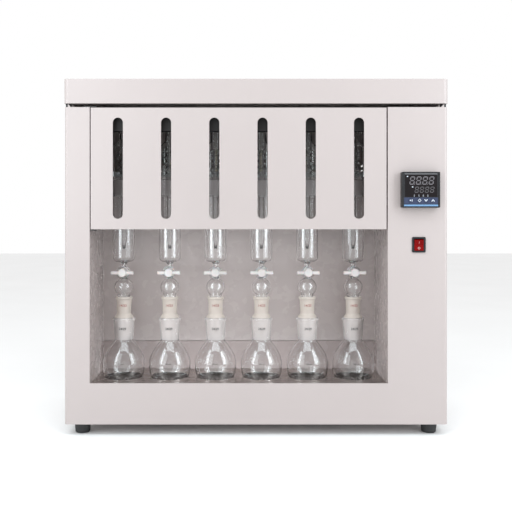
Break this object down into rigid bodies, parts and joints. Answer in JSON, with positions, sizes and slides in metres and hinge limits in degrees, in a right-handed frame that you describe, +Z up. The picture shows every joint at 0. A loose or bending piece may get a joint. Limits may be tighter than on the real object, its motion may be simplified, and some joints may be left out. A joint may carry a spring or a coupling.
{
  "type": "soxhlet extractor",
  "caption": "Bench Soxhlet extractor: a painted cabinet with a heated water bath, a row of glass extraction sets, slotted door, hinged lid, temperature controller and mains switch.",
  "frame": {"origin": "on the bench plane, under the middle of the bounding box", "axes": "+Z up, front of the cabinet towards -Y, +X to the right seen from the front"},
  "size_m": [0.735, 0.34, 0.682],
  "materials": {
    "paint": "ivory white powder coat, fine texture",
    "dark_paint": "matt black paint on steel",
    "stainless": "satin stainless sheet",
    "fastener": "nickel plated",
    "glass": "clear borosilicate with ground joints",
    "frosted_glass": "ground and frosted",
    "ptfe": "white PTFE, satin",
    "rubber": "black rubber",
    "hose": "translucent silicone hose",
    "black_plastic": "moulded black plastic",
    "key_plastic": "slate blue membrane key",
    "red_plastic": "translucent red plastic",
    "ceramic_grey": "light grey moulding"
  },
  "bodies": {
    "root": {"outer_casing": "paint", "base_pan": "paint", "rear_panel": "paint", "recess_liner": "paint", "splash_panel": "paint", "bath_cover_plate": "stainless", "bath_tank": "stainless", "flask_grid": "stainless", "heater_element": "stainless", "temperature_probe": "stainless", "condenser_clips": "stainless", "top_front_rail": "dark_paint", "water_manifolds": "stainless", "condenser_hoses": "hose", "feet": "rubber", "screws": "fastener", "lid_hinges": "fastener", "lid_buffers": "rubber", "door_fittings": "dark_paint", "controller": "black_plastic", "rocker_frame": "black_plastic", "power_inlet": "black_plastic", "relay_module": "ceramic_grey", "flask_1": "glass", "flask_2": "glass", "flask_3": "glass", "flask_4": "glass", "flask_5": "glass", "flask_6": "glass"},
    "lid": {"lid": "paint"},
    "door": {"door": "paint"},
    "rocker": {"rocker": "red_plastic"},
    "set_button": {"set_button": "key_plastic"},
    "shift_button": {"shift_button": "key_plastic"},
    "down_button": {"down_button": "key_plastic"},
    "up_button": {"up_button": "key_plastic"},
    "tube_1": {"extraction_tube_1": "glass", "adapter_1": "frosted_glass"},
    "condenser_1": {"condenser_1": "glass"},
    "stopcock_1": {"stopcock_key_1": "ptfe"},
    "tube_2": {"extraction_tube_2": "glass", "adapter_2": "frosted_glass"},
    "condenser_2": {"condenser_2": "glass"},
    "stopcock_2": {"stopcock_key_2": "ptfe"},
    "tube_3": {"extraction_tube_3": "glass", "adapter_3": "frosted_glass"},
    "condenser_3": {"condenser_3": "glass"},
    "stopcock_3": {"stopcock_key_3": "ptfe"},
    "tube_4": {"extraction_tube_4": "glass", "adapter_4": "frosted_glass"},
    "condenser_4": {"condenser_4": "glass"},
    "stopcock_4": {"stopcock_key_4": "ptfe"},
    "tube_5": {"extraction_tube_5": "glass", "adapter_5": "frosted_glass"},
    "condenser_5": {"condenser_5": "glass"},
    "stopcock_5": {"stopcock_key_5": "ptfe"},
    "tube_6": {"extraction_tube_6": "glass", "adapter_6": "frosted_glass"},
    "condenser_6": {"condenser_6": "glass"},
    "stopcock_6": {"stopcock_key_6": "ptfe"}
  },
  "joints": [
    {"name": "lid_hinge", "type": "hinge", "parent": "root", "child": "lid", "pos_m": [0, 0.1505, 0.6315], "axis": [-1, 0, 0], "range_deg": [0, 95]},
    {"name": "door_hinge", "type": "hinge", "parent": "root", "child": "door", "pos_m": [-0.312, -0.151, 0.5], "axis": [0, 0, -1], "range_deg": [0, 105]},
    {"name": "switch_rocker", "type": "hinge", "parent": "root", "child": "rocker", "pos_m": [0.311, -0.15, 0.365], "axis": [1, 0, 0], "range_deg": [-14, 0]},
    {"name": "set_press", "type": "slide", "parent": "root", "child": "set_button", "axis": [0, 1, 0], "range_m": [0, 0.0008], "stiffness_N_per_m": 300},
    {"name": "shift_press", "type": "slide", "parent": "root", "child": "shift_button", "axis": [0, 1, 0], "range_m": [0, 0.0008], "stiffness_N_per_m": 300},
    {"name": "down_press", "type": "slide", "parent": "root", "child": "down_button", "axis": [0, 1, 0], "range_m": [0, 0.0008], "stiffness_N_per_m": 300},
    {"name": "up_press", "type": "slide", "parent": "root", "child": "up_button", "axis": [0, 1, 0], "range_m": [0, 0.0008], "stiffness_N_per_m": 300},
    {"name": "station_lift_1", "type": "slide", "parent": "root", "child": "tube_1", "axis": [0, 0, 1], "range_m": [0, 0.04], "deforming": ["condenser_hoses"]},
    {"name": "condenser_lift_1", "type": "slide", "parent": "tube_1", "child": "condenser_1", "axis": [0, 0, 1], "range_m": [0, 0.03], "deforming": ["condenser_hoses"]},
    {"name": "stopcock_turn_1", "type": "hinge", "parent": "tube_1", "child": "stopcock_1", "pos_m": [-0.2641, -0.08, 0.307], "axis": [0, 1, 0], "continuous": true},
    {"name": "station_lift_2", "type": "slide", "parent": "root", "child": "tube_2", "axis": [0, 0, 1], "range_m": [0, 0.04], "deforming": ["condenser_hoses"]},
    {"name": "condenser_lift_2", "type": "slide", "parent": "tube_2", "child": "condenser_2", "axis": [0, 0, 1], "range_m": [0, 0.03], "deforming": ["condenser_hoses"]},
    {"name": "stopcock_turn_2", "type": "hinge", "parent": "tube_2", "child": "stopcock_2", "pos_m": [-0.1719, -0.08, 0.307], "axis": [0, 1, 0], "continuous": true},
    {"name": "station_lift_3", "type": "slide", "parent": "root", "child": "tube_3", "axis": [0, 0, 1], "range_m": [0, 0.04], "deforming": ["condenser_hoses"]},
    {"name": "condenser_lift_3", "type": "slide", "parent": "tube_3", "child": "condenser_3", "axis": [0, 0, 1], "range_m": [0, 0.03], "deforming": ["condenser_hoses"]},
    {"name": "stopcock_turn_3", "type": "hinge", "parent": "tube_3", "child": "stopcock_3", "pos_m": [-0.0797, -0.08, 0.307], "axis": [0, 1, 0], "continuous": true},
    {"name": "station_lift_4", "type": "slide", "parent": "root", "child": "tube_4", "axis": [0, 0, 1], "range_m": [0, 0.04], "deforming": ["condenser_hoses"]},
    {"name": "condenser_lift_4", "type": "slide", "parent": "tube_4", "child": "condenser_4", "axis": [0, 0, 1], "range_m": [0, 0.03], "deforming": ["condenser_hoses"]},
    {"name": "stopcock_turn_4", "type": "hinge", "parent": "tube_4", "child": "stopcock_4", "pos_m": [0.0125, -0.08, 0.307], "axis": [0, 1, 0], "continuous": true},
    {"name": "station_lift_5", "type": "slide", "parent": "root", "child": "tube_5", "axis": [0, 0, 1], "range_m": [0, 0.04], "deforming": ["condenser_hoses"]},
    {"name": "condenser_lift_5", "type": "slide", "parent": "tube_5", "child": "condenser_5", "axis": [0, 0, 1], "range_m": [0, 0.03], "deforming": ["condenser_hoses"]},
    {"name": "stopcock_turn_5", "type": "hinge", "parent": "tube_5", "child": "stopcock_5", "pos_m": [0.1047, -0.08, 0.307], "axis": [0, 1, 0], "continuous": true},
    {"name": "station_lift_6", "type": "slide", "parent": "root", "child": "tube_6", "axis": [0, 0, 1], "range_m": [0, 0.04], "deforming": ["condenser_hoses"]},
    {"name": "condenser_lift_6", "type": "slide", "parent": "tube_6", "child": "condenser_6", "axis": [0, 0, 1], "range_m": [0, 0.03], "deforming": ["condenser_hoses"]},
    {"name": "stopcock_turn_6", "type": "hinge", "parent": "tube_6", "child": "stopcock_6", "pos_m": [0.1969, -0.08, 0.307], "axis": [0, 1, 0], "continuous": true}
  ]
}
